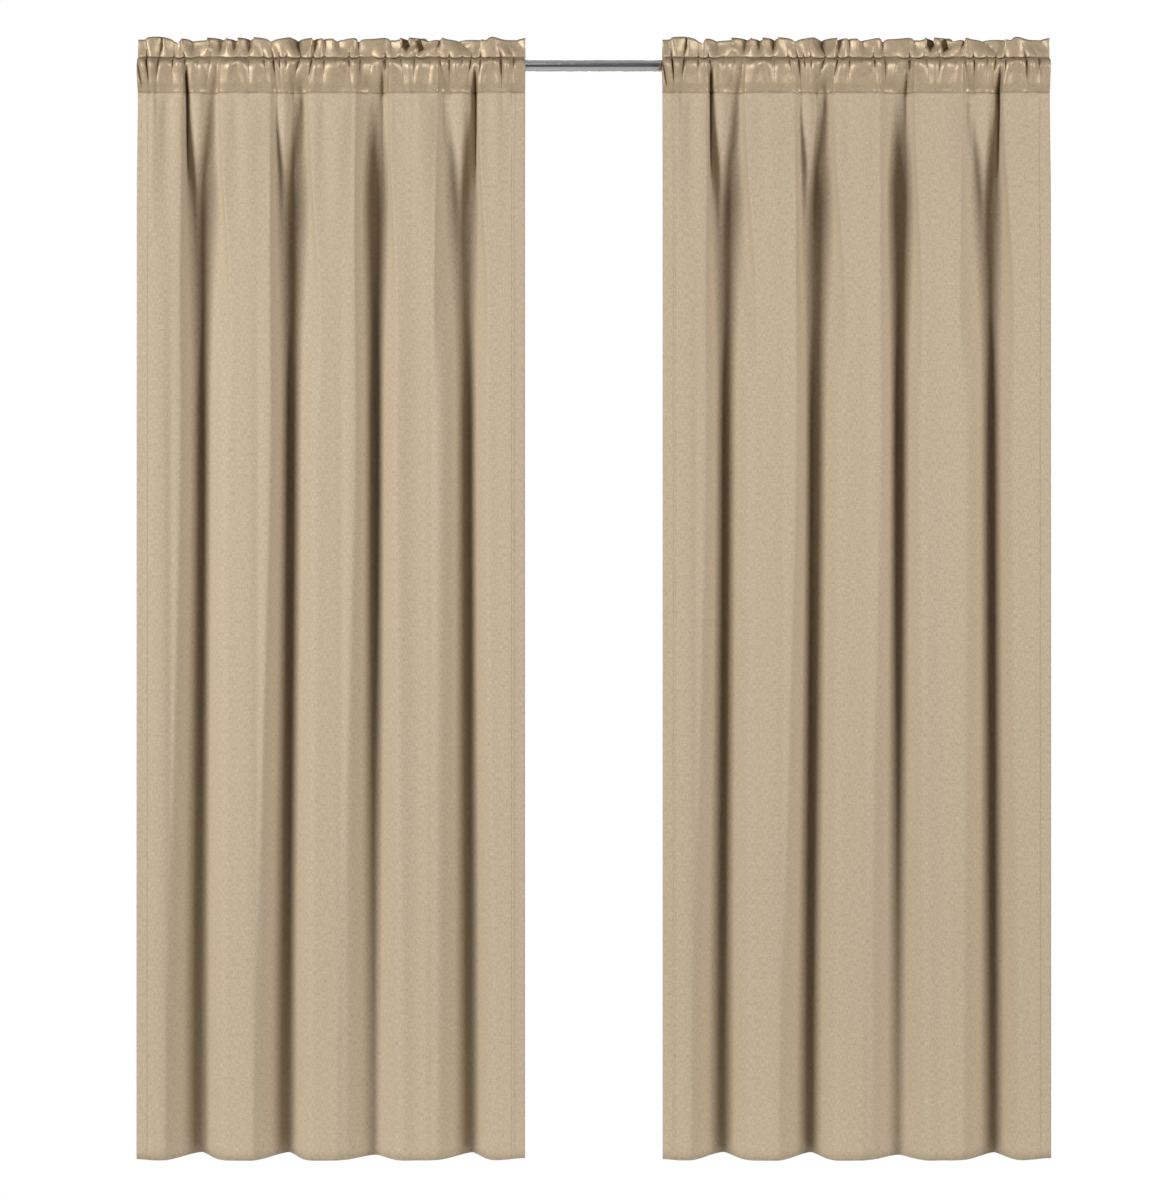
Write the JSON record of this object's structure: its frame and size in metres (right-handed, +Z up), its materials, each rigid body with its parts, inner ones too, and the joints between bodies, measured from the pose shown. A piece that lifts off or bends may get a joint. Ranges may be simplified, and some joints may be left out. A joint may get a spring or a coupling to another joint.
{
  "type": "window curtains on a rod",
  "caption": "Pair of rod-pocket curtain panels with ruffled headers, gathered on a thin spring tension rod between two walls.",
  "frame": {"origin": "centre of the left end cap's wall face, on the rod's axis", "axes": "+X along the rod towards the right wall, -Y towards the room, +Z up"},
  "size_m": [1.739, 0.0702, 2.1357],
  "materials": {
    "curtain_cloth": "satin weave, soft sheen",
    "sewing_thread": "matt",
    "satin_nickel": "satin",
    "cap_rubber": "matt",
    "moulded_plastic": "fine moulded grain",
    "spring_steel": "bright wire"
  },
  "bodies": {
    "rod": {"outer_tube": "satin_nickel", "left_end_cap": "cap_rubber", "left_end_plug": "moulded_plastic", "mouth_bush": "moulded_plastic"},
    "lock": {"lock_spindle": "moulded_plastic", "lock_collar": "moulded_plastic", "tension_spring": "spring_steel"},
    "cam": {"lock_cam": "moulded_plastic"},
    "inner_rod": {"inner_tube": "satin_nickel", "right_end_plug": "moulded_plastic", "right_end_cap": "cap_rubber", "spring_seat": "moulded_plastic"},
    "left_panel": {"left_header_ruffle": "curtain_cloth", "left_header_stitching": "sewing_thread", "left_rod_pocket": "curtain_cloth", "left_drop_cloth": "curtain_cloth", "left_pocket_stitching": "sewing_thread", "left_bottom_hem": "curtain_cloth", "left_bottom_hem_stitching": "sewing_thread", "left_outer_side_hem": "curtain_cloth", "left_outer_hem_stitching": "sewing_thread"},
    "left_leading_edge": {"left_leading_side_hem": "curtain_cloth", "left_leading_hem_stitching": "sewing_thread"},
    "right_panel": {"right_header_ruffle": "curtain_cloth", "right_header_stitching": "sewing_thread", "right_rod_pocket": "curtain_cloth", "right_drop_cloth": "curtain_cloth", "right_pocket_stitching": "sewing_thread", "right_bottom_hem": "curtain_cloth", "right_bottom_hem_stitching": "sewing_thread", "right_outer_side_hem": "curtain_cloth", "right_outer_hem_stitching": "sewing_thread"},
    "right_leading_edge": {"right_leading_side_hem": "curtain_cloth", "right_leading_hem_stitching": "sewing_thread"}
  },
  "joints": [
    {"name": "rod_length", "type": "slide", "parent": "rod", "child": "lock", "axis": [1, 0, 0], "range_m": [0, 0.49]},
    {"name": "lock_cam_turn", "type": "hinge", "parent": "lock", "child": "cam", "pos_m": [0.5131, 0, -0.001], "axis": [1, 0, 0], "range_deg": [0, 180]},
    {"name": "end_push", "type": "slide", "parent": "lock", "child": "inner_rod", "axis": [1, 0, 0], "range_m": [-0.025, 0], "stiffness_N_per_m": 1500, "springref_m": 0.02, "deforming": ["tension_spring"]},
    {"name": "left_panel_slide", "type": "slide", "parent": "rod", "child": "left_panel", "axis": [1, 0, 0], "range_m": [0, 0.12]},
    {"name": "right_panel_slide", "type": "slide", "parent": "inner_rod", "child": "right_panel", "axis": [-1, 0, 0], "range_m": [0, 0.12]},
    {"name": "left_draw", "type": "slide", "parent": "left_panel", "child": "left_leading_edge", "axis": [-1, 0, 0], "range_m": [0, 0.437], "deforming": ["left_header_ruffle", "left_header_stitching", "left_rod_pocket", "left_drop_cloth", "left_pocket_stitching", "left_bottom_hem", "left_bottom_hem_stitching"]},
    {"name": "right_draw", "type": "slide", "parent": "right_panel", "child": "right_leading_edge", "axis": [1, 0, 0], "range_m": [0, 0.437], "deforming": ["right_header_ruffle", "right_header_stitching", "right_rod_pocket", "right_drop_cloth", "right_pocket_stitching", "right_bottom_hem", "right_bottom_hem_stitching"]}
  ]
}
